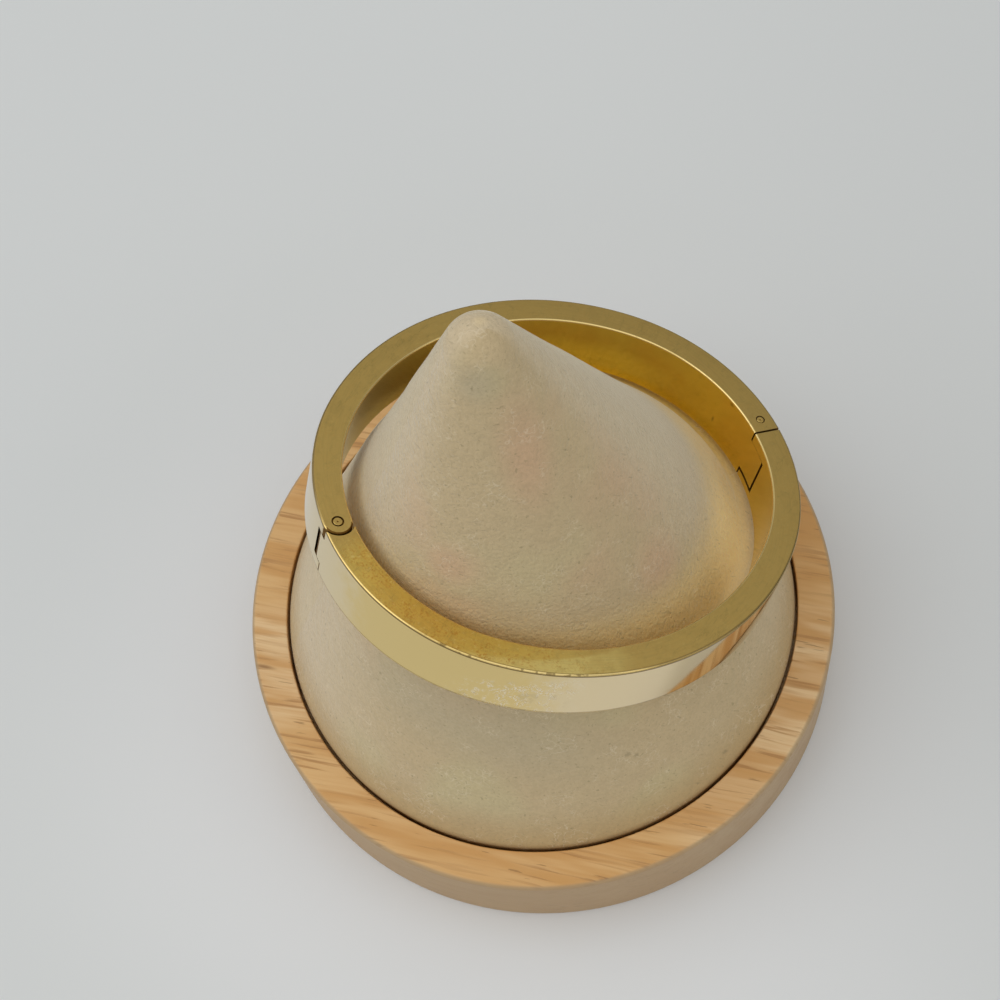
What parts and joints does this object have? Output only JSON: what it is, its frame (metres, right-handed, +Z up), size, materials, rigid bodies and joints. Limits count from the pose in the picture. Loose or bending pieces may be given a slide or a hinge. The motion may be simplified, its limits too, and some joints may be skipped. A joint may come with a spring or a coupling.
{
  "type": "hinged bangle on a cone display stand",
  "caption": "Oval metal bangle in hinged halves with a tongue clasp, resting aslant on a covered cone in a round wooden base.",
  "frame": {"origin": "middle of the wooden base's flat underside", "axes": "+Z up along the cone's axis; +Y away from the viewer, so that -Y is the side the picture looks from; +X to the right, the side where the bangle leans down and has its clasp"},
  "size_m": [0.09, 0.09, 0.1],
  "materials": {
    "base_wood": "fine sanded pale hardwood with a thin satin oil",
    "cone_cover": "short-napped beige suede cloth stretched over the cone",
    "band_gold": "gold plate, mirror polished on the walls and fine satin on the flat rims",
    "tongue_gold": "gold plate, polished",
    "pin_gold": "gold plate, satin end faces with a dark ring of wear round them"
  },
  "bodies": {
    "stand": {"wood_base": "base_wood", "cone": "cone_cover", "rear_half": "band_gold", "hinge_pin": "pin_gold", "clasp_tongue": "tongue_gold", "clasp_pin": "pin_gold"},
    "front": {"front_half": "band_gold"}
  },
  "joints": [
    {"name": "bangle_hinge", "type": "hinge", "parent": "stand", "child": "front", "pos_m": [-0.02557, -0.00317, 0.05774], "axis": [-0.304, -0.1637, -0.9385], "range_deg": [0, 50]}
  ]
}
